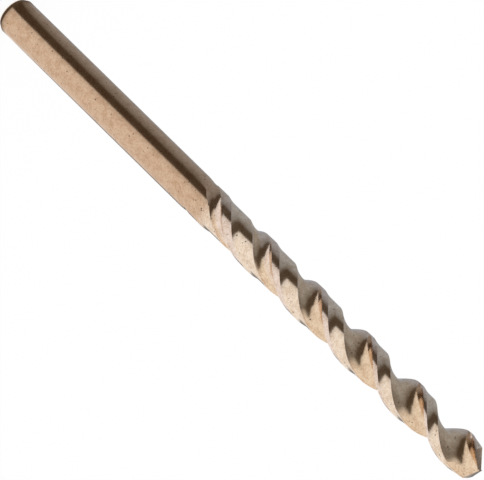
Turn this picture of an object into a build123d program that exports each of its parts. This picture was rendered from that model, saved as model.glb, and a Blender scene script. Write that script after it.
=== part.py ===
from build123d import *
import math
import os

# Overall sizes of a jobber length drill, in millimetres.
drill_diameter = 4.8
shank_diameter = 4.8
overall_length = 86.0
flute_length = 52.0
back_taper = 0.02

# Back end of the shank.
shank_chamfer_height = 0.6
shank_chamfer_depth = 0.3

# Right-hand helix: one full turn of a flute takes this much length.
flute_lead = 17.7

# The flutes are the path of one cutter that lifts away towards the shank.
web_thickness_at_point = 0.8
web_thickness_at_runout = 4.2
flute_arc_radius = 2.4
flute_floor_azimuth = 53.0
heel_curve_radius = 10.0
runout_length = 2.0
runout_rise = 0.1

# Body clearance, ground off each land behind its narrow margin.
margin_angle = 8.0
clearance_depth = 0.2
clearance_start_depth = 0.02
clearance_from_runout = 3.0
clearance_ramp = 1.2

# Ground point: each flank is part of a large cone, whose apex stands over the far side of
# the drill and ahead of the lip, so that the flank falls away behind the lip.
point_angle = 126.0
flank_cone_half_angle = 26.0
flank_apex_distance = 10.0
flank_swing = 20.0

# A square gash thins the web in front of each lip. Its broad facet runs out over the heel.
gash_web = 0.35
gash_corner = 0.23
gash_azimuth = 72.0
gash_lean = 23.0
gash_turn = 15.0
gash_size = 10.0

# The fluted body passes through sections this far apart, and is made long at first.
section_spacing = 1.0
stock_above_point = 2.0
stock_height = 8.0
flank_cone_height = 30.0

half_turn = 180.0
quarter_turn = 90.0
foot = (Align.CENTER, Align.CENTER, Align.MIN)
half_point = math.radians(point_angle / 2)
corner_height = overall_length - drill_diameter / 2 / math.tan(half_point)
runout_end = overall_length - flute_length
runout_start = runout_end + runout_length
clearance_start = runout_end + clearance_from_runout
top = overall_length + stock_above_point


def polar(radius, angle):
    return radius * math.cos(math.radians(angle)), radius * math.sin(math.radians(angle))


def steps(low, high, spacing):
    """Even heights from low to high, about this far apart."""
    count = math.ceil((high - low) / spacing)
    return [low + (high - low) * i / count for i in range(count + 1)]


def turned(height):
    """Angle through which the section at this height has turned about the axis."""
    return 360.0 * (height - corner_height) / flute_lead


def margin_radius(height):
    """The drill is thinnest at the run-out, so that it doesn't bind in its hole."""
    return drill_diameter / 2 - back_taper * (overall_length - height) / flute_length


def land_radius(height):
    """Radius of a land behind its margin, which drops down a ramp to the full clearance."""
    along = min(1.0, max(0.0, (height - clearance_start) / clearance_ramp))
    depth = clearance_start_depth + (clearance_depth - clearance_start_depth) * along
    return margin_radius(height) - depth


def floor_radius(height):
    """Distance of the flute floor from the axis."""
    along = (overall_length - height) / (overall_length - runout_start)
    web = web_thickness_at_point + (web_thickness_at_runout - web_thickness_at_point) * along
    below = max(0.0, runout_start - height)
    return web / 2 + runout_rise * (below / runout_length) ** 2


def half_section(height, turn):
    """Margin, cutting face, heel, cleared land and the step up to the next margin."""
    rim = margin_radius(height)
    land = land_radius(height)
    floor = floor_radius(height)
    centre = floor + flute_arc_radius
    reach = math.acos((centre**2 + flute_arc_radius**2 - rim**2) / (2 * centre * flute_arc_radius))

    def in_flute(x, y):
        return polar(math.hypot(x, y), math.degrees(math.atan2(y, x)) + flute_floor_azimuth + turn)

    def on_face(angle):
        return in_flute(centre - flute_arc_radius * math.cos(angle), -flute_arc_radius * math.sin(angle))

    def azimuth(point):
        return math.degrees(math.atan2(point[1], point[0]))

    def arc(radius, low, high):
        high = low + (high - low) % 360.0
        return ThreePointArc(polar(radius, low), polar(radius, (low + high) / 2), polar(radius, high))

    lip = on_face(reach)
    floor_point = in_flute(floor, 0)
    behind = floor - heel_curve_radius
    swing = math.acos((land**2 - behind**2 - heel_curve_radius**2) / (2 * behind * heel_curve_radius))

    def on_heel(angle):
        return in_flute(behind + heel_curve_radius * math.cos(angle), heel_curve_radius * math.sin(angle))

    heel = on_heel(swing)
    margin_rear = turn - margin_angle
    next_rear = margin_rear + half_turn
    return [
        arc(rim, margin_rear, azimuth(lip)),
        ThreePointArc(lip, on_face(reach / 2), floor_point),
        ThreePointArc(floor_point, on_heel(swing / 2), heel),
        arc(land, azimuth(heel), next_rear),
        Line(polar(land, next_rear), polar(rim, next_rear)),
    ]


def section_at(height):
    """Whole cross-section, lifted to its height and turned with the helix."""
    outline = half_section(height, 0.0) + half_section(height, half_turn)
    return Pos(0, 0, height) * Rot(0, 0, turned(height)) * Face(Wire(outline))


# Fluted body, left long at the top for the point to be ground from.
heights = steps(runout_end, top, section_spacing)
guide = Helix(flute_lead, top - runout_end, drill_diameter)
guide = (Pos(0, 0, runout_end) * Rot(0, 0, turned(runout_end)) * guide).edges()[0]
spine = Line((0, 0, runout_end), (0, 0, top))
fluted = sweep([section_at(h) for h in heights], path=spine, binormal=guide, multisection=True)

# Plain round shank with its chamfered back end.
side = [
    (0, 0),
    (shank_diameter / 2 - shank_chamfer_depth, 0),
    (shank_diameter / 2, shank_chamfer_height),
    (shank_diameter / 2, runout_end),
    (0, runout_end),
]
shank = revolve(Face(Wire(Plane.XZ * Polyline(*side, close=True))), axis=Axis.Z)
body = shank + fluted

# The two flanks, which meet in the chisel edge across the web.
spread = math.radians(flank_cone_half_angle)
cone = Pos(0, 0, -flank_cone_height) * Cone(
    flank_cone_height * math.tan(spread), 0, flank_cone_height, align=foot
)
apex = Pos(-flank_apex_distance * math.sin(spread), 0, flank_apex_distance * math.cos(spread))
tilt = Rot(0, flank_cone_half_angle - point_angle / 2, 0) * Rot(0, 0, -flank_swing)
flank = Pos(0, 0, overall_length) * tilt * apex * cone
stock = Pos(0, 0, top - stock_height) * Cylinder(drill_diameter, stock_height, align=foot)
for turn in (0.0, half_turn):
    body = body - (stock - Rot(0, 0, turn) * flank)

# The gashes: the facet stands ahead of the lip, leans outwards and turns towards the heel.
wheel = Box(gash_size, gash_size, gash_size, align=(Align.MAX, Align.MIN, Align.CENTER))
facing = Rot(0, 0, gash_azimuth - quarter_turn) * Pos(gash_corner, gash_web / 2, 0)
gash = facing * Rot(gash_lean, 0, 0) * Rot(0, gash_turn, 0) * wheel
for turn in (0.0, half_turn):
    body = body - Pos(0, 0, overall_length) * Rot(0, 0, turn) * gash

os.makedirs("parts", exist_ok=True)
twist_drill = body.solid()
twist_drill.label = "twist_drill"
export_step(twist_drill, "parts/twist_drill.step")
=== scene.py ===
# %% [markdown]
# # A twist drill bit
#
# The drill is one piece of hard steel. It has a plain round shank at one end, two flutes that
# wind round it like the threads of a screw, and a ground point at the other end. The solid
# model gives its size and its shape. This lesson gives it a smooth skin, a bronze oxide finish
# and the small marks of use.

# %% Load the solid model
import math

import bmesh
import bpy
import numpy as np
from mathutils import Matrix, Vector


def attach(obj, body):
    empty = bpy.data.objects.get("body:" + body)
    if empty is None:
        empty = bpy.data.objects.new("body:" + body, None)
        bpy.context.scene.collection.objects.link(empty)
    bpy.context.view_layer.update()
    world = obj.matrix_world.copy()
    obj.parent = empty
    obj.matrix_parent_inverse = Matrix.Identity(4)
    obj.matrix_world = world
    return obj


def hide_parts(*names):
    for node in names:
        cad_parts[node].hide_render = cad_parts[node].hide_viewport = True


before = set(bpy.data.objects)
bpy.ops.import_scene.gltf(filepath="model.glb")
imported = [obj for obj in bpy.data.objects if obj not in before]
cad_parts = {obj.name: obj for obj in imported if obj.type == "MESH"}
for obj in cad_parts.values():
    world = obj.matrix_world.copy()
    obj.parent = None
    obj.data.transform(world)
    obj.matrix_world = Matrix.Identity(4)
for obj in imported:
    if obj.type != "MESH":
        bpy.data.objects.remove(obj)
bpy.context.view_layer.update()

# %% [markdown]
# ## Writing nodes as sums
#
# A shape or a finish is a graph of nodes, and a graph is easier to read as arithmetic. This
# small class wraps one socket, so that `1 - mask` or `mask * 0.5` adds the Math nodes by itself.
# The Math node is the same in both kinds of tree, so one class serves the shape and the finish.

# %% A socket that can be added and multiplied
class Sock:
    """One output socket of a tree, with the usual arithmetic."""

    def __init__(self, tree, socket):
        self.tree, self.socket = tree, socket

    def node(self, kind, settings=None, output=0, **inputs):
        """Adds a node: its settings first, then the values or links of its sockets."""
        made = self.tree.nodes.new(kind)
        for key, value in (settings or {}).items():
            if key == "stops":
                ramp = made.color_ramp.elements
                for spot, (place, colour) in enumerate(value):
                    stop = ramp[spot] if spot < 2 else ramp.new(place)
                    stop.position, stop.color = place, colour
            else:
                setattr(made, key, value)
        for key, value in inputs.items():
            socket = made.inputs[int(key[1:]) if key[0] == "_" else key.replace("_", " ")]
            if isinstance(value, Sock):
                self.tree.links.new(value.socket, socket)
            else:
                socket.default_value = value
        return Sock(self.tree, made.outputs[output])

    def maths(self, operation, *values):
        """One Math node over these values."""
        values = {f"_{spot}": value for spot, value in enumerate(values)}
        return self.node("ShaderNodeMath", {"operation": operation}, **values)

    def __add__(self, other):
        return self.maths("ADD", self, other)

    def __sub__(self, other):
        return self.maths("SUBTRACT", self, other)

    def __rsub__(self, other):
        return self.maths("SUBTRACT", other, self)

    def __mul__(self, other):
        return self.maths("MULTIPLY", self, other)

    def __truediv__(self, other):
        return self.maths("DIVIDE", self, other)

    def __rtruediv__(self, other):
        return self.maths("DIVIDE", other, self)

    def __pow__(self, other):
        return self.maths("POWER", self, other)

    def __neg__(self):
        return self.maths("MULTIPLY", self, -1.0)

    def __gt__(self, other):
        return self.maths("GREATER_THAN", self, other)

    __radd__, __rmul__ = __add__, __mul__

    def cos(self):
        return self.maths("COSINE", self)

    def sin(self):
        return self.maths("SINE", self)

    def acos(self):
        return self.maths("ARCCOSINE", self)

    def within(self, low, high, way="LINEAR"):
        """0 at low, 1 at high and straight between, and no further."""
        settings = {"interpolation_type": way}
        return self.node("ShaderNodeMapRange", settings, Value=self, From_Min=low, From_Max=high)

    def between(self, low, high):
        """The same, but with a soft start and a soft end."""
        return self.within(low, high, "SMOOTHSTEP")

    def blend(self, first, second):
        """The first number where this is 0, the second where it is 1."""
        return first + (second - first) * self

    def mix(self, first, second):
        """The first colour where this is 0, the second where it is 1."""
        settings = {"data_type": "RGBA"}
        return self.node("ShaderNodeMix", settings, output=2, _0=self, _6=first, _7=second)


print("a socket can be used in sums")

# %% [markdown]
# ## The rule of the drill
#
# A twist drill is one cross-section that turns as it climbs. The section has a narrow margin at
# the full radius, the hollow cutting face, the heel curve, the land, and a concave clearance
# that rises to the next margin. Half a turn on, all of it comes again. Since the shape is a
# rule, Geometry Nodes can make it: a grid's columns go round the section, its rows climb the
# drill, and sums put each point in its place. The solid model is built from the same rule, and
# the rule's skin is smooth where the solid's triangles would show in a satin metal.
#
# The web, which is the metal left between the two flutes, thickens towards the shank, so the
# flutes get shallower and wash out there. Sizes are in millimetres and angles in degrees.

# %% Sizes of the drill
SIZES = {
    "Length": 86.0,
    "Flute Length": 52.0,
    "Radius": 2.4,
    "Back Taper": 0.02,
    "Chamfer Height": 0.6,
    "Chamfer Depth": 0.3,
    "Flute Lead": 17.7,
    "Web At Point": 0.8,
    "Web At Runout": 4.2,
    "Runout Length": 2.0,
    "Face Radius": 2.4,
    "Heel Radius": 10.0,
    "Floor Angle": 53.0,
    "Margin Angle": 8.0,
    "Margin Wear": 0.035,
    "Clearance": 0.2,
    "Clearance Angle": 27.0,
    "Point Angle": 126.0,
    "Row Height": 0.2,
}
MM = 0.001  # one millimetre in metres
DEGREE = math.pi / 180
print("the drill has", len(SIZES), "named sizes")

# %% The tree, with one named input for each size
def rule_tree(name, sizes):
    """A new Geometry Nodes tree, and a Sock for each of its sizes."""
    tree = bpy.data.node_groups.new(name, "GeometryNodeTree")
    tree.interface.new_socket("Geometry", in_out="OUTPUT", socket_type="NodeSocketGeometry")
    for label in sizes:
        tree.interface.new_socket(label, in_out="INPUT", socket_type="NodeSocketFloat")
    entry = tree.nodes.new("NodeGroupInput")
    return tree, {label: Sock(tree, entry.outputs[label]) for label in sizes}


drill_tree, size = rule_tree("drill_rule", SIZES)
start = Sock(drill_tree, None)
print("the tree's inputs are", ", ".join(size))

# %% [markdown]
# ## Columns, rows and heights
#
# Each point of the grid knows its index, and so its column and its row. Half the columns go
# round one half of the section, in five stretches. The first rows are the centre of the shank's
# back end, and the foot and the top of its chamfer. The next is at the run-out, where the flutes
# begin, and from there each row is one small step higher. The last closes the top. The bar is
# made a little too long, because its point is ground from it later.
#
# Rows and columns are compared with numbers halfway between whole ones, so that a rounding
# error can't tip them.

# %% Which column and which row
MARGIN, FACE, HEEL, LAND, RISE = 6, 26, 24, 12, 14  # columns on each stretch
HEEL_FROM = MARGIN + FACE
LAND_FROM = HEEL_FROM + HEEL
RISE_FROM = LAND_FROM + LAND
HALF = RISE_FROM + RISE
SHANK_ROWS = 3
STOCK = 2.0  # length above the tip, for grinding
ROWS = SHANK_ROWS + 1 + math.ceil((SIZES["Flute Length"] + STOCK) / SIZES["Row Height"]) + 1

index = start.node("GeometryNodeInputIndex")
column = start.maths("FLOOR", (index + 0.5) / ROWS)
row = index - column * ROWS
half = start.maths("FLOOR", (column + 0.5) / HALF)
spot = column - half * HALF
print("the grid has", 2 * HALF, "columns and", ROWS, "rows")

# %% How high each row is
runout = size["Length"] - size["Flute Length"]
height = size["Chamfer Height"] * (row > SHANK_ROWS - 1.5)
height = height + (runout - size["Chamfer Height"]) * (row > SHANK_ROWS - 0.5)
height = height + start.maths("MAXIMUM", row - SHANK_ROWS, 0.0) * size["Row Height"]
down = size["Length"] - height
above_runout = height - runout
print("the rows climb by", SIZES["Row Height"], "mm")

# %% [markdown]
# ## The section at each height
#
# The height gives the radius of the margin, of the land and of the flute's floor. The drill is
# thinnest at the run-out, so that it doesn't bind in its hole, and its clearance starts a little
# above the run-out. The cutting face is a hollow arc, and the heel is a flatter one that rounds
# outwards. They meet at the flute's floor, and the law of cosines says where the face reaches
# the rim and where the heel reaches the land.

# %% Radii, and where the two arcs end
CLEARANCE_FROM, CLEARANCE_TO = 3.0, 4.2  # above the run-out
FIRST_CLEARANCE = 0.02  # the land's step below the margin, before the clearance starts

rim = size["Radius"] - size["Back Taper"] * down / size["Flute Length"]
cleared = above_runout.within(CLEARANCE_FROM, CLEARANCE_TO)
land = rim - (FIRST_CLEARANCE + (size["Clearance"] - FIRST_CLEARANCE) * cleared)
web = size["Web At Point"] + (size["Web At Runout"] - size["Web At Point"]) * down / (
    size["Flute Length"] - size["Runout Length"]
)
floor = web * 0.5

face_radius, heel_radius = size["Face Radius"], size["Heel Radius"]
centre = floor + face_radius
reach = centre * centre + face_radius ** 2 - rim * rim
reach = (reach / (2 * centre * face_radius)).acos()
behind = floor - heel_radius
swing = land * land - behind * behind - heel_radius ** 2
swing = (swing / (2 * behind * heel_radius)).acos()
print("the web grows from", SIZES["Web At Point"], "to", SIZES["Web At Runout"], "mm")

# %% [markdown]
# ## Round the outline
#
# The column says which stretch of the outline a point is on and how far along it. From these
# come its distance from the axis and its angle about it. Each stretch is worked out for every
# point, and then each point keeps the one that it is on. The margin is worn a little towards
# the lip, as on a drill that has been used.

# %% Helpers for one stretch
def part(first, count):
    """How far the point is along one stretch of the outline, from 0 to 1."""
    return spot.within(float(first), float(first + count))


def polar(x, y):
    """Distance and angle of a point given in the flute's own square axes."""
    angle = start.maths("ARCTAN2", y, x) + size["Floor Angle"] * DEGREE
    return start.maths("SQRT", x * x + y * y), angle


def on_face(angle):
    """A point of the cutting face, by its angle about the centre of that arc."""
    return polar(centre - face_radius * angle.cos(), -(face_radius * angle.sin()))


def on_heel(angle):
    """A point of the heel curve, by its angle about the centre of that arc."""
    return polar(behind + heel_radius * angle.cos(), heel_radius * angle.sin())


lip_angle = on_face(reach)[1]
heel_angle = on_heel(swing)[1]
print("the lip and the heel are placed after", len(drill_tree.nodes), "nodes")

# %% The five stretches, as distance and angle
LEAST_LAND = 2.0  # degrees that are left of the land where the heel comes near the rise
RISE_POWER = 1.8  # 1 is straight, and more is hollow

rear = size["Margin Angle"] * DEGREE
worn = part(0, MARGIN)
margin = rim - size["Margin Wear"] * worn * worn, worn.blend(-rear, lip_angle)
face = on_face(reach * (1 - part(MARGIN, FACE)))
heel = on_heel(swing * part(HEEL_FROM, HEEL))
rise_angle = math.pi - rear - size["Clearance Angle"] * DEGREE
rise_angle = start.maths("MAXIMUM", rise_angle, heel_angle + LEAST_LAND * DEGREE)
level = land, part(LAND_FROM, LAND).blend(heel_angle, rise_angle)
risen = part(RISE_FROM, RISE)
rise = land + (rim - land) * risen ** RISE_POWER, risen.blend(rise_angle, math.pi - rear)

distance, angle = margin
stretches = {MARGIN: face, HEEL_FROM: heel, LAND_FROM: level, RISE_FROM: rise}
for first, (its_distance, its_angle) in stretches.items():
    past = spot > first + 0.5
    distance, angle = past.blend(distance, its_distance), past.blend(angle, its_angle)
print("the outline has", 1 + len(stretches), "stretches")

# %% [markdown]
# ## Wash out, climb and close
#
# Below the flutes the section is a plain circle, and a soft step between the two lets each flute
# wash out. The section then turns with the helix. Its turn is counted from the height where the
# cone of the point meets the rim, so the lips' corners stay in place if the lead changes. The
# first and the last row shrink to the axis, which closes both ends, and the second row is as
# narrow as the chamfer's foot. The last column falls on the first, and the points of the two
# are merged.

# %% The fluted bar
WASH_FROM, WASH_TO = 0.3, 2.8  # above the run-out
MERGE_DISTANCE = 1e-4

fluted = above_runout.between(WASH_FROM, WASH_TO)
distance = fluted.blend(size["Radius"], distance)
angle = fluted.blend(spot * (math.pi / HALF) - rear, angle)
slope = start.maths("TANGENT", size["Point Angle"] * (DEGREE / 2))
corner = size["Length"] - size["Radius"] / slope
climbed = start.maths("MAXIMUM", height, runout) - corner
angle = angle + climbed * (2 * math.pi) / size["Flute Lead"] + half * math.pi
narrow = (size["Radius"] - size["Chamfer Depth"]) / size["Radius"]
inset = start.maths("MINIMUM", row * narrow, 1.0) * (1 - (row > ROWS - 1.5))
distance = distance * inset

east, north = distance * angle.cos(), distance * angle.sin()
place = start.node("ShaderNodeCombineXYZ", X=east, Y=north, Z=height)
grid = start.node("GeometryNodeMeshGrid", Vertices_X=2 * HALF + 1, Vertices_Y=ROWS)
bar = start.node("GeometryNodeSetPosition", Geometry=grid, Position=place)
bar = start.node("GeometryNodeMergeByDistance", Geometry=bar, Distance=MERGE_DISTANCE)
print("the section and its climb take", len(drill_tree.nodes), "nodes")

# %% [markdown]
# ## Grinding the point
#
# A drill's point is ground, not shaped by the rule. Each of its two flanks is part of a large
# cone, and a square wheel then gashes the web in front of each lip. Cutting the bar with the
# same tools gives the same edges, so the tree takes a block less its cone, twice, and a turned
# box, twice, away from the bar.

# %% Helpers for cutting
def moved(mesh, turns=(0, 0, 0), by=(0, 0, 0)):
    """The mesh turned by these degrees about the axes, and then moved."""
    turns = tuple(math.radians(turn) for turn in turns)
    return start.node("GeometryNodeTransform", Geometry=mesh, Translation=by, Rotation=turns)


def without(mesh, tool):
    """The mesh less the tool."""
    settings = {"operation": "DIFFERENCE", "solver": "EXACT"}
    return start.node("GeometryNodeMeshBoolean", settings, _0=mesh, _1=tool)


print("a tool can be moved, and taken away from the bar")

# %% A block less the flank's cone
CONE_SPREAD = 26.0  # degrees from its axis to its side
CONE_APEX = 10.0  # how far it is from the drill's tip
CONE_SWING = 20.0  # degrees, so that the flank falls away behind its lip
CONE_HEIGHT, CONE_SIDES = 30.0, 512
BLOCK_RADIUS, BLOCK_HEIGHT, BLOCK_SIDES = 4.8, 8.0, 48
BLOCK_OVER = 1.0  # how far the block stands over the bar

tip = SIZES["Length"]
spread = math.radians(CONE_SPREAD)
cone = start.node(
    "GeometryNodeMeshCone", Vertices=CONE_SIDES, Radius_Top=0.0,
    Radius_Bottom=CONE_HEIGHT * math.tan(spread), Depth=CONE_HEIGHT,
)
apex = (-CONE_APEX * math.sin(spread), 0, CONE_APEX * math.cos(spread) - CONE_HEIGHT)
cone = moved(moved(cone, by=apex), turns=(0, 0, -CONE_SWING))
cone = moved(cone, (0, CONE_SPREAD - SIZES["Point Angle"] / 2, 0), (0, 0, tip))
block = start.node(
    "GeometryNodeMeshCylinder", Vertices=BLOCK_SIDES, Radius=BLOCK_RADIUS, Depth=BLOCK_HEIGHT
)
block = moved(block, by=(0, 0, tip + STOCK + BLOCK_OVER - BLOCK_HEIGHT / 2))
flank = without(block, cone)
print("the cone leans by", CONE_SPREAD - SIZES["Point Angle"] / 2, "degrees")

# %% The gashing wheel, and the four cuts
GASH_WEB = 0.35  # what the two gashes leave between them
GASH_CORNER = 0.23  # how far past the axis the corner of each one stands
GASH_ANGLE, GASH_LEAN, GASH_TURN = 72.0, 23.0, 15.0
GASH_SIZE = 10.0

wheel = start.node("GeometryNodeMeshCube", Size=(GASH_SIZE, GASH_SIZE, GASH_SIZE))
wheel = moved(wheel, by=(-GASH_SIZE / 2, GASH_SIZE / 2, 0))
wheel = moved(wheel, (0, GASH_TURN, 0))
wheel = moved(wheel, (GASH_LEAN, 0, 0), (GASH_CORNER, GASH_WEB / 2, 0))
wheel = moved(wheel, (0, 0, GASH_ANGLE - 90), (0, 0, tip))
ground = bar
for tool in (flank, wheel):
    for turn in (0, 180):
        ground = without(ground, moved(tool, (0, 0, turn)))
print("with the point the tree has", len(drill_tree.nodes), "nodes")

# %% [markdown]
# ## From the rule to a plain mesh
#
# Corners that turn by more than a set angle are marked sharp, and the rest stays smooth. The
# tree ends by making instances real and setting the finish, which is still empty here. Its
# inputs are given by identifier, before the object is first evaluated, and the result is kept
# as a plain mesh.

# %% An empty finish
def finish_tree(name):
    """A new finish, its shader node, and a Sock to start sums from."""
    finish = bpy.data.materials.new(name)
    finish.use_nodes = True
    return finish, finish.node_tree.nodes["Principled BSDF"], Sock(finish.node_tree, None)


steel, shader, on_steel = finish_tree("bronze_oxide_steel")
print("the drill's finish is called", steel.name)

# %% Smooth faces, sharp edges
SHARP_ANGLE = math.radians(24)
SHADE = "GeometryNodeSetShadeSmooth"

bend = start.node("GeometryNodeInputMeshEdgeAngle")
sharp = bend > SHARP_ANGLE
ground = start.node(SHADE, {"domain": "FACE"}, _0=ground, Shade_Smooth=True)
ground = start.node(SHADE, {"domain": "EDGE"}, _0=ground, Selection=sharp, Shade_Smooth=False)
ground = start.node("GeometryNodeTransform", Geometry=ground, Scale=(MM, MM, MM))
ground = start.node("GeometryNodeRealizeInstances", Geometry=ground)
ground = start.node("GeometryNodeSetMaterial", Geometry=ground, Material=steel)
leave = drill_tree.nodes.new("NodeGroupOutput")
drill_tree.links.new(ground.socket, leave.inputs[0])
print("the whole tree has", len(drill_tree.nodes), "nodes")

# %% One plain mesh
draft = bpy.data.objects.new("drill_draft", bpy.data.meshes.new("drill_draft"))
bpy.context.scene.collection.objects.link(draft)
rule = draft.modifiers.new("rule", "NODES")
rule.node_group = drill_tree
for item in drill_tree.interface.items_tree:
    if item.in_out == "INPUT":
        rule[item.identifier] = SIZES[item.name]
graph = bpy.context.evaluated_depsgraph_get()
skin = bpy.data.meshes.new_from_object(draft.evaluated_get(graph))
skin.name = "drill_skin"
draft.modifiers.remove(rule)
bpy.data.objects.remove(draft)
drill = bpy.data.objects.new("drill_skin", skin)
bpy.context.scene.collection.objects.link(drill)
print("the skin has", len(skin.vertices), "points and", len(skin.polygons), "faces")

# %% Is it closed, and how large is it?
work = bmesh.new()
work.from_mesh(skin)
loose = [edge for edge in work.edges if len(edge.link_faces) != 2]
print("open or crossed edges:", len(loose))
print("volume:", round(work.calc_volume() / MM ** 3, 1), "cubic mm")
work.free()
points = np.empty(3 * len(skin.vertices))
skin.vertices.foreach_get("co", points)
points = points.reshape(-1, 3)
print("from", np.round(points.min(0) / MM, 3), "to", np.round(points.max(0) / MM, 3), "mm")

# %% [markdown]
# ## Bronze oxide on steel
#
# The steel is heated, which leaves a thin bronze oxide. It is satin, not polished. The shank
# keeps the plain tan. The flutes are browner, because nothing rubs them. The lands have been
# rubbed to a pale cream, and the margins and the lips beside them almost to bare steel. These
# zones could be painted on the mesh, but then their edges would follow its faces. So the finish
# asks each point how far it is from the axis, how high it is, which way it faces, and where on
# the turning section it lies. Over all this goes a fine mottle, and a few small dark pits.

# %% Where a shaded point lies
def about_axis(start):
    """The place of a shaded point, its height, its distance from the axis and its angle."""
    here = start.node("ShaderNodeTexCoord", output="Object")
    sides = start.node("ShaderNodeSeparateXYZ", Vector=here).socket.node.outputs
    east, north, tall = (Sock(start.tree, side) for side in sides)
    distance = start.maths("SQRT", east * east + north * north)
    return here, tall, distance, start.maths("ARCTAN2", north, east)


HELIX = 2 * math.pi / (MM * SIZES["Flute Lead"])
CORNER_HEIGHT = MM * (tip - SIZES["Radius"] / math.tan(math.radians(SIZES["Point Angle"] / 2)))
SECTION_FROM, SECTION_TO = math.radians(-10), math.radians(170)

here, tall, from_axis, section_angle = about_axis(on_steel)
section_angle = section_angle - (tall - CORNER_HEIGHT) * HELIX
section_angle = on_steel.maths("WRAP", section_angle, SECTION_TO, SECTION_FROM)
facing = on_steel.node("ShaderNodeNewGeometry", output="Normal")
facing_up = on_steel.node("ShaderNodeSeparateXYZ", output="Z", Vector=facing)
print("the lips' corners are", round(CORNER_HEIGHT / MM, 2), "mm up")

# %% Masks for the parts of the drill
# Each pair is where a soft edge starts and ends. Radii and heights are in metres.
FLUTED_HEIGHTS = 0.0365, 0.0400
FLUTE_RADII = 0.00196, 0.00212
LIP_RADII = 0.00125, 0.00200
LIP_ANGLES = math.radians(56), math.radians(70)
LAND_RADII = 0.00205, 0.00218
POINT_HEIGHTS = 0.0830, 0.0834
POINT_FACING = 0.55, 0.70  # 0 faces sideways and 1 straight up

fluted_part = tall.between(*FLUTED_HEIGHTS)
in_flute = (1 - from_axis.between(*FLUTE_RADII)) * fluted_part
face_side = 1 - section_angle.between(*LIP_ANGLES)
rubbed_lip = from_axis.between(*LIP_RADII) * face_side * fluted_part
on_land = from_axis.between(*LAND_RADII) * fluted_part
# The point's upward-facing flanks, which take a painted shade.
point_shade_mask = facing_up.between(*POINT_FACING) * tall.between(*POINT_HEIGHTS)
print("the masks take", len(steel.node_tree.nodes), "nodes")

# %% Mottle, grain and pits
PATCH_RANGE, MOTTLE_RANGE = (0.60, 0.35), (0.60, 0.38)
PATCH_SHADE, MOTTLE_SHADE = 0.5, 0.6
PIT_WIDTHS, PIT_PLACES = (0.12, 0.32), (0.58, 0.66)


def noise(scale, detail, roughness):
    """Cloudy noise over the steel, finer as its scale grows."""
    settings = {"Scale": scale, "Detail": detail, "Roughness": roughness}
    return on_steel.node("ShaderNodeTexNoise", Vector=here, **settings)


patches = noise(scale=1100.0, detail=3.0, roughness=0.6)
mottle = noise(scale=4200.0, detail=3.0, roughness=0.75)
grain = noise(scale=9000.0, detail=2.0, roughness=0.7)
chosen = noise(scale=1500.0, detail=1.0, roughness=0.5)
cells = on_steel.node("ShaderNodeTexVoronoi", Vector=here, Scale=2300.0, Randomness=1.0)
pits = (1 - cells.between(*PIT_WIDTHS)) * chosen.between(*PIT_PLACES)
deep = patches.between(*PATCH_RANGE) * PATCH_SHADE + mottle.between(*MOTTLE_RANGE) * MOTTLE_SHADE
print("the patterns bring it to", len(steel.node_tree.nodes), "nodes")

# %% Colours of the drill
def srgb(red, green, blue):
    """A colour as read off a screen, turned into the light it stands for."""
    return tuple(((c / 255 + 0.055) / 1.055) ** 2.4 for c in (red, green, blue)) + (1.0,)


SHANK_TAN = srgb(215, 184, 156)
LAND_CREAM = srgb(243, 225, 205)
FLUTE_BROWN = srgb(235, 210, 181)
BARE_STEEL = srgb(238, 220, 208)
# The point's flanks: a darker copy of the shank's tan, which is painted shade.
POINT_PAINTED_SHADE = srgb(172, 150, 130)
PIT = srgb(70, 52, 40)
DEEPER = (0.76, 0.68, 0.61)
LIP_BARED, PIT_DARKNESS = 0.9, 0.8

tone = on_land.mix(SHANK_TAN, LAND_CREAM)
tone = in_flute.mix(tone, FLUTE_BROWN)
tone = (rubbed_lip * LIP_BARED).mix(tone, BARE_STEEL)
# The point's upward flanks are painted darker, as shade.
tone = point_shade_mask.mix(tone, POINT_PAINTED_SHADE)
deeper = on_steel.node("ShaderNodeVectorMath", {"operation": "MULTIPLY"}, _0=tone, _1=DEEPER)
tone = deep.mix(tone, deeper)
tone = (pits * PIT_DARKNESS).mix(tone, PIT)
links = steel.node_tree.links
links.new(tone.socket, shader.inputs["Base Color"])
print("the shank's tan is", [round(part, 3) for part in SHANK_TAN[:3]])

# %% Gloss and relief
SATIN, GRAIN_DULLS, PIT_DULLS = 0.12, 0.10, 0.25
MOTTLE_RELIEF, GRAIN_RELIEF = 0.4, 0.4

shader.inputs["Metallic"].default_value = 1.0
roughness = SATIN + GRAIN_DULLS * grain + PIT_DULLS * pits
links.new(roughness.socket, shader.inputs["Roughness"])
relief = mottle * MOTTLE_RELIEF + grain * GRAIN_RELIEF - pits
bump = on_steel.node("ShaderNodeBump", Strength=0.15, Distance=0.00002, Height=relief)
links.new(bump.socket, shader.inputs["Normal"])
print("the finish has", len(steel.node_tree.nodes), "nodes")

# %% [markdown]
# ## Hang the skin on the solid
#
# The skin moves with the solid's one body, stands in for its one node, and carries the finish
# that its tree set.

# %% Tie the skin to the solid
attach(drill, "root")
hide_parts("twist_drill")
print(drill.name, "rides on the solid")

# %% [markdown]
# ## The camera
#
# The drill stands on its shank. The camera looks down at it from beyond the point, and is rolled
# so that the drill crosses the picture from corner to corner. A short lens would make the near
# end look thicker, so the lens is long and the camera is far away.

# %% A long lens, rolled
CAMERA_TURN = math.radians(28.6)
CAMERA_RISE = math.radians(28.0)
CAMERA_ROLL = math.radians(44.42)
AIM_HEIGHT = 0.0433
CAMERA_DISTANCE = 0.8894
CAMERA_ASIDE = 0.000228
LENS, SENSOR_WIDTH = 568.6, 36
NEAREST, FURTHEST = 0.01, 20

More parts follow.
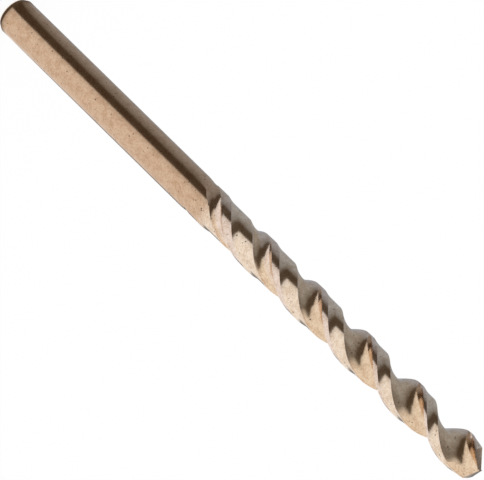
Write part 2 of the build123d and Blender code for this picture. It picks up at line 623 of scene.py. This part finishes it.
up = Vector((0, 0, 1))
front = Vector((math.cos(CAMERA_TURN), math.sin(CAMERA_TURN), 0))
back = front * math.cos(CAMERA_RISE) + up * math.sin(CAMERA_RISE)
along = up * math.cos(CAMERA_RISE) - front * math.sin(CAMERA_RISE)
across = (-back).cross(along)
right = along * math.cos(CAMERA_ROLL) - across * math.sin(CAMERA_ROLL)
below = along * math.sin(CAMERA_ROLL) + across * math.cos(CAMERA_ROLL)
camera = bpy.data.objects.new("camera", bpy.data.cameras.new("camera"))
bpy.context.scene.collection.objects.link(camera)
camera.matrix_world = Matrix((right, -below, back)).transposed().to_4x4()
camera.location = Vector((0, 0, AIM_HEIGHT)) + back * CAMERA_DISTANCE + across * CAMERA_ASIDE
camera.data.sensor_width = SENSOR_WIDTH
camera.data.lens = LENS
camera.data.clip_start, camera.data.clip_end = NEAREST, FURTHEST
bpy.context.scene.camera = camera
bpy.context.scene.view_settings.view_transform = "Standard"
print("the camera is at", [round(side, 3) for side in camera.location], "m")

# %% [markdown]
# ## Floor and light
#
# The floor is white paper under an even white sky. To the camera, and in reflections, part of
# its white is its own, so that it stays white and still keeps the drill's soft shadow.

# %% A sheet turned about the axis
def lathe(name, finish, side, count=96):
    """A sheet turned about the drill's axis from (radius, height) pairs."""
    points, faces = [], []
    for radius, height in side:
        for step in range(count):
            angle = 2 * math.pi * step / count
            points.append((radius * math.cos(angle), radius * math.sin(angle), height))
    for ring in range(len(side) - 1):
        for step in range(count):
            first, second = ring * count + step, ring * count + (step + 1) % count
            faces.append((first, second, second + count, first + count))
    sheet = bpy.data.meshes.new(name)
    sheet.from_pydata(points, [], faces)
    sheet.materials.append(finish)
    made = bpy.data.objects.new(name, sheet)
    bpy.context.scene.collection.objects.link(made)
    print(name, "has", len(faces), "faces")
    return made


# %% The floor and the sky
PAPER_WHITE = (0.98, 0.98, 0.98, 1)
PAPER_ROUGHNESS = 0.9
PAPER_OWN_WHITE = 0.9
FLOOR_FROM, FLOOR_TO = 0.0001, 3.0

paper, paper_shader, on_paper = finish_tree("white_paper")
paper_shader.inputs["Base Color"].default_value = PAPER_WHITE
paper_shader.inputs["Roughness"].default_value = PAPER_ROUGHNESS
light_path = paper.node_tree.nodes.new("ShaderNodeLightPath")
camera_ray, glossy_ray, sent_ray = (
    Sock(paper.node_tree, light_path.outputs[kind])
    for kind in ("Is Camera Ray", "Is Glossy Ray", "Is Transmission Ray")
)
seen = on_paper.maths("MAXIMUM", on_paper.maths("MAXIMUM", camera_ray, glossy_ray), sent_ray)
lit = Sock(paper.node_tree, paper_shader.outputs[0])
glow = on_paper.node("ShaderNodeEmission", Color=(1, 1, 1, 1), Strength=1.0)
mixed = on_paper.node("ShaderNodeMixShader", _0=seen * PAPER_OWN_WHITE, _1=lit, _2=glow)
surface = paper.node_tree.nodes["Material Output"].inputs["Surface"]
paper.node_tree.links.new(mixed.socket, surface)
lathe("floor", paper, [(FLOOR_FROM, 0), (FLOOR_TO, 0)])

world = bpy.data.worlds.new("studio")
bpy.context.scene.world = world
world.use_nodes = True
world.node_tree.nodes["Background"].inputs["Color"].default_value = (1, 1, 1, 1)
world.node_tree.nodes["Background"].inputs["Strength"].default_value = 1.0

# %% [markdown]
# ## A tent for the reflections
#
# Metal has no look of its own: it shows what stands round it. A drill in an all-white room
# looks like plaster. So a paper tent goes round it, white on one side, with one black card and
# a grey side beyond that. Close round the drill's foot the tent's floor carries a painted shade,
# for the dark gap under the standing drill. The tent is left out of everything but the
# reflections, so that it throws no shadow on the floor and isn't in the picture itself. Its
# papers stay where they are when the camera moves.

# %% The papers, by the angle from the camera's own side in degrees
WHITE_PAPER = (1.0, 1.0, 1.0)
OFF_WHITE_PAPER = (0.8, 0.8, 0.8)
COOL_GREY_PAPER = (0.4, 0.43, 0.47)
DARK_GREY_PAPER = (0.25, 0.25, 0.25)
BLACK_CARD = (0.09, 0.07, 0.05)
# Painted shade on the tent's floor, close round the drill's foot.
FOOT_SHADE = (0.12, 0.10, 0.08, 1.0)

# On the floor and the lower wall.
TENT_PAPERS = (
    (-180, COOL_GREY_PAPER), (-105, COOL_GREY_PAPER), (-66, DARK_GREY_PAPER),
    (-52, BLACK_CARD), (-16, BLACK_CARD), (-10, OFF_WHITE_PAPER), (20, WHITE_PAPER),
    (138, WHITE_PAPER), (152, DARK_GREY_PAPER), (180, DARK_GREY_PAPER),
)
# Above them, up to the open top.
SKY_PAPERS = (
    (-180, COOL_GREY_PAPER), (-100, DARK_GREY_PAPER), (-60, DARK_GREY_PAPER),
    (-30, OFF_WHITE_PAPER), (0, WHITE_PAPER), (150, WHITE_PAPER),
)
print("the tent has", len(TENT_PAPERS), "edges below and", len(SKY_PAPERS), "above")

# %% Which paper is where
CARD_LEAN_FLOOR, CARD_LEAN_WALL = math.radians(10), math.radians(24)
LEAN_REACH, LEAN_HEIGHTS = (0.15, 0.40), (0.0, 0.12)
SKY_HEIGHTS = 0.12, 0.24
FOOT_REACH = 0.0022, 0.0042

tent_paper, _, on_tent = finish_tree("tent_paper")
_, tall, from_drill, turn = about_axis(on_tent)
lean = from_drill.within(*LEAN_REACH) * CARD_LEAN_FLOOR
lean = lean + tall.within(*LEAN_HEIGHTS) * CARD_LEAN_WALL
turn = on_tent.maths("WRAP", turn - CAMERA_TURN - lean, math.pi, -math.pi)
turn = turn * (0.5 / math.pi) + 0.5  # from 0 to 1, once round


def shades(stops):
    """The papers' shades round the tent. A new ramp's own two stops are its first and last."""
    stops = [(angle / 360 + 0.5, (*shade, 1)) for angle, shade in stops]
    stops = [stops[0], stops[-1], *stops[1:-1]]
    return on_tent.node("ShaderNodeValToRGB", {"stops": stops}, _0=turn)


shade = tall.between(*SKY_HEIGHTS).mix(shades(TENT_PAPERS), shades(SKY_PAPERS))
shade = from_drill.between(*FOOT_REACH).mix(FOOT_SHADE, shade)
glow = on_tent.node("ShaderNodeEmission", Color=shade, Strength=1.0)
surface = tent_paper.node_tree.nodes["Material Output"].inputs["Surface"]
tent_paper.node_tree.links.new(glow.socket, surface)
print("the tent's paper has", len(tent_paper.node_tree.nodes), "nodes")

# %% The tent
TENT_RADIUS, TENT_TOP, TENT_SIDES = 0.40, 0.50, 192
TENT_FOOT, OVER_FLOOR = 0.0021, 0.0001

profile = [(TENT_FOOT, OVER_FLOOR), (TENT_RADIUS, OVER_FLOOR), (TENT_RADIUS, TENT_TOP)]
tent = lathe("tent", tent_paper, profile, TENT_SIDES)
tent.visible_camera = tent.visible_diffuse = tent.visible_shadow = False
tent.visible_transmission = tent.visible_volume_scatter = False
